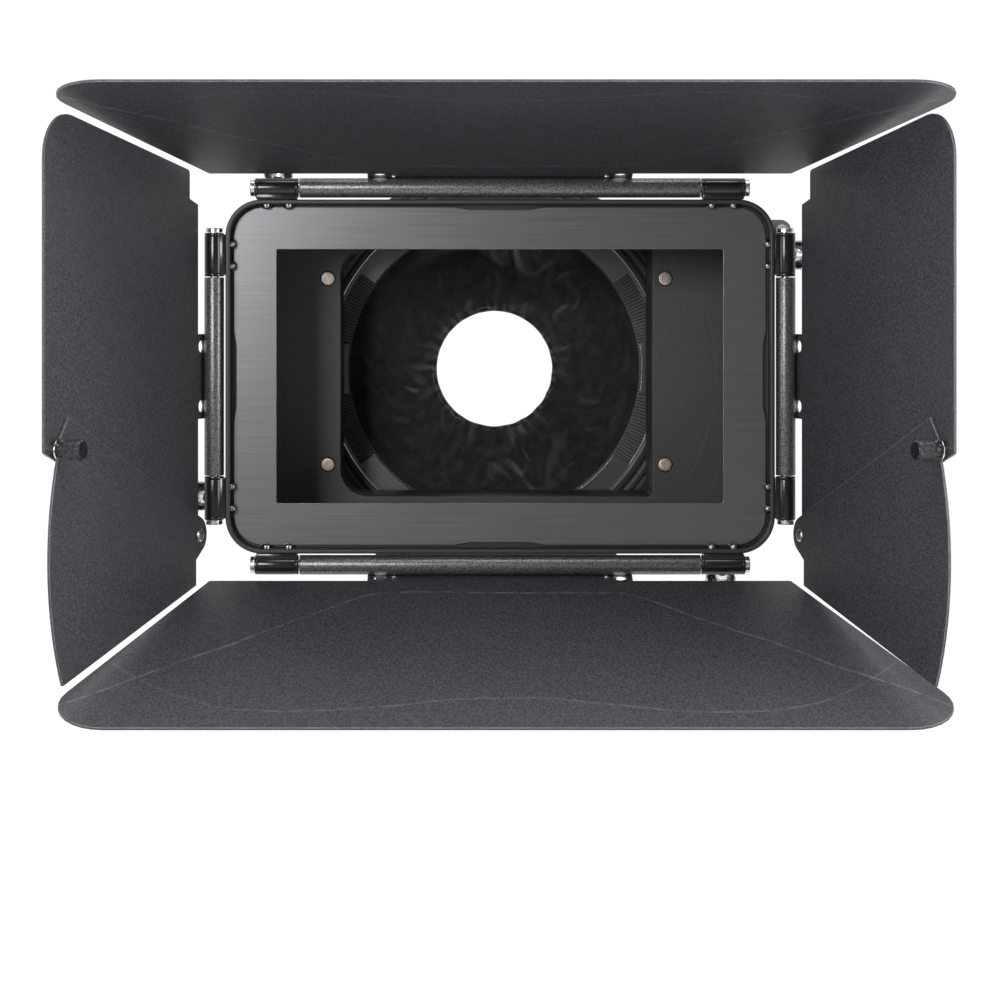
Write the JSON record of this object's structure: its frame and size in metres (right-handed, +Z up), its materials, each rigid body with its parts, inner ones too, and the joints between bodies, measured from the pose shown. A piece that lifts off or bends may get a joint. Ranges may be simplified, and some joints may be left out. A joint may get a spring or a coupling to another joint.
{
  "type": "lens hood",
  "caption": "Four-flag matte box lens hood: boxed shade with hinged flags, folding side wings, mask, filter trays, cloth lens cuff and rod bracket.",
  "frame": {"origin": "on the optical axis, in the plane of the rear face of the lens port ring", "axes": "+Y along the optical axis towards the camera body, +Z up, +X to the right seen from the front"},
  "size_m": [0.3614, 0.2773, 0.2567],
  "materials": {
    "rim_black": "black anodised, satin",
    "mask_grey": "dark grey anodised, finely brushed",
    "stage_black": "matt black anodised",
    "powder_coat": "fine-textured charcoal powder coat",
    "tube_black": "textured black",
    "gloss_black": "polished black anodised",
    "bright_steel": "bright turned",
    "knob_black": "black, diamond knurl",
    "elastic_weave": "ribbed black elastic",
    "cuff_cloth": "gathered black knit"
  },
  "bodies": {
    "hood": {"hood_shell": "rim_black", "mask_plate": "mask_grey", "stage_plate": "stage_black", "stage_screw_upper_left": "bright_steel", "stage_screw_upper_right": "bright_steel", "stage_screw_lower_left": "bright_steel", "stage_screw_lower_right": "bright_steel", "filter_stage": "stage_black", "rear_housing": "rim_black", "housing_screw_upper_left": "bright_steel", "housing_screw_upper_right": "bright_steel", "housing_screw_lower_left": "bright_steel", "housing_screw_lower_right": "bright_steel", "lens_port_ring": "rim_black", "finger_retainer": "mask_grey", "elastic_band": "elastic_weave", "fabric_donut": "cuff_cloth", "rod_bracket": "stage_black", "rod_clamp_cap": "stage_black", "bracket_stud_left": "bright_steel", "bracket_stud_right": "bright_steel", "hinge_barrel_top_left": "gloss_black", "hinge_barrel_top_right": "gloss_black", "hinge_barrel_bottom_left": "gloss_black", "hinge_barrel_bottom_right": "gloss_black", "hinge_barrel_left_upper": "gloss_black", "hinge_barrel_left_lower": "gloss_black", "hinge_barrel_right_upper": "gloss_black", "hinge_barrel_right_lower": "gloss_black"},
    "top_flag": {"flag_top": "powder_coat", "hinge_tube_top": "tube_black", "hinge_rod_top": "bright_steel", "hinge_nut_top": "bright_steel"},
    "bottom_flag": {"flag_bottom": "powder_coat", "hinge_tube_bottom": "tube_black", "hinge_rod_bottom": "bright_steel", "hinge_nut_bottom": "bright_steel"},
    "left_flag": {"flag_left": "powder_coat", "hinge_tube_left": "tube_black", "hinge_rod_left": "bright_steel", "hinge_nut_left": "bright_steel", "wing_pivot_left": "bright_steel"},
    "right_flag": {"flag_right": "powder_coat", "hinge_tube_right": "tube_black", "hinge_rod_right": "bright_steel", "hinge_nut_right": "bright_steel", "wing_pivot_right": "bright_steel"},
    "left_wing": {"wing_left": "powder_coat"},
    "left_wing_knob": {"wing_knob_left": "knob_black"},
    "right_wing": {"wing_right": "powder_coat"},
    "right_wing_knob": {"wing_knob_right": "knob_black"},
    "top_lock_knob": {"lock_knob_top": "bright_steel"},
    "right_lock_knob": {"lock_knob_right": "bright_steel"},
    "bottom_lock_knob": {"lock_knob_bottom": "bright_steel"},
    "left_lock_knob": {"lock_knob_left": "bright_steel"},
    "tray_lock": {"tray_lock_screw": "bright_steel"},
    "clamp_knob": {"rod_clamp_knob": "knob_black"},
    "front_tray": {"filter_tray_front": "rim_black"},
    "rear_tray": {"filter_tray_rear": "rim_black"}
  },
  "joints": [
    {"name": "top_flag_hinge", "type": "hinge", "parent": "hood", "child": "top_flag", "pos_m": [0, -0.1455, 0.0833], "axis": [-1, 0, 0], "range_deg": [0, 60]},
    {"name": "bottom_flag_hinge", "type": "hinge", "parent": "hood", "child": "bottom_flag", "pos_m": [0, -0.1455, -0.0833], "axis": [1, 0, 0], "range_deg": [0, 53]},
    {"name": "left_flag_hinge", "type": "hinge", "parent": "hood", "child": "left_flag", "pos_m": [-0.1263, -0.1455, 0], "axis": [0, 0, -1], "range_deg": [-6, 51]},
    {"name": "right_flag_hinge", "type": "hinge", "parent": "hood", "child": "right_flag", "pos_m": [0.1263, -0.1455, 0], "axis": [0, 0, 1], "range_deg": [-6, 54]},
    {"name": "left_wing_pivot", "type": "hinge", "parent": "left_flag", "child": "left_wing", "pos_m": [-0.13392, -0.15204, -0.0695], "axis": [-0.9285, 0.3714, 0], "range_deg": [0, 25]},
    {"name": "right_wing_pivot", "type": "hinge", "parent": "right_flag", "child": "right_wing", "pos_m": [0.13358, -0.15241, -0.0695], "axis": [-0.9461, -0.3239, 0], "range_deg": [0, 25]},
    {"name": "left_wing_knob_turn", "type": "hinge", "parent": "left_flag", "child": "left_wing_knob", "pos_m": [-0.17846, -0.2634, -0.02537], "axis": [-0.9285, 0.3714, 0], "range_deg": [-180, 180]},
    {"name": "right_wing_knob_turn", "type": "hinge", "parent": "right_flag", "child": "right_wing_knob", "pos_m": [0.17243, -0.26589, -0.02537], "axis": [0.9461, 0.3239, 0], "range_deg": [-180, 180]},
    {"name": "top_lock_knob_turn", "type": "hinge", "parent": "hood", "child": "top_lock_knob", "pos_m": [-0.0985, -0.1455, 0.0833], "axis": [0, 0.766, 0.6428], "range_deg": [-180, 180]},
    {"name": "right_lock_knob_turn", "type": "hinge", "parent": "hood", "child": "right_lock_knob", "pos_m": [0.1263, -0.1455, 0.0537], "axis": [0.6428, 0.766, 0], "range_deg": [-180, 180]},
    {"name": "bottom_lock_knob_turn", "type": "hinge", "parent": "hood", "child": "bottom_lock_knob", "pos_m": [0.0985, -0.1455, -0.0833], "axis": [0, 0.766, -0.6428], "range_deg": [-180, 180]},
    {"name": "left_lock_knob_turn", "type": "hinge", "parent": "hood", "child": "left_lock_knob", "pos_m": [-0.1263, -0.1455, -0.0537], "axis": [-0.6428, 0.766, 0], "range_deg": [-180, 180]},
    {"name": "tray_lock_turn", "type": "hinge", "parent": "hood", "child": "tray_lock", "pos_m": [0.136, -0.054, 0.067], "axis": [0, 1, 0], "range_deg": [-180, 180]},
    {"name": "rod_clamp_knob_turn", "type": "hinge", "parent": "hood", "child": "clamp_knob", "pos_m": [0, -0.047, -0.126], "axis": [0, 0, 1], "range_deg": [-180, 180]},
    {"name": "front_tray_lift", "type": "slide", "parent": "hood", "child": "front_tray", "axis": [0, 0, 1], "range_m": [0, 0.15]},
    {"name": "rear_tray_lift", "type": "slide", "parent": "hood", "child": "rear_tray", "axis": [0, 0, 1], "range_m": [0, 0.15]}
  ]
}
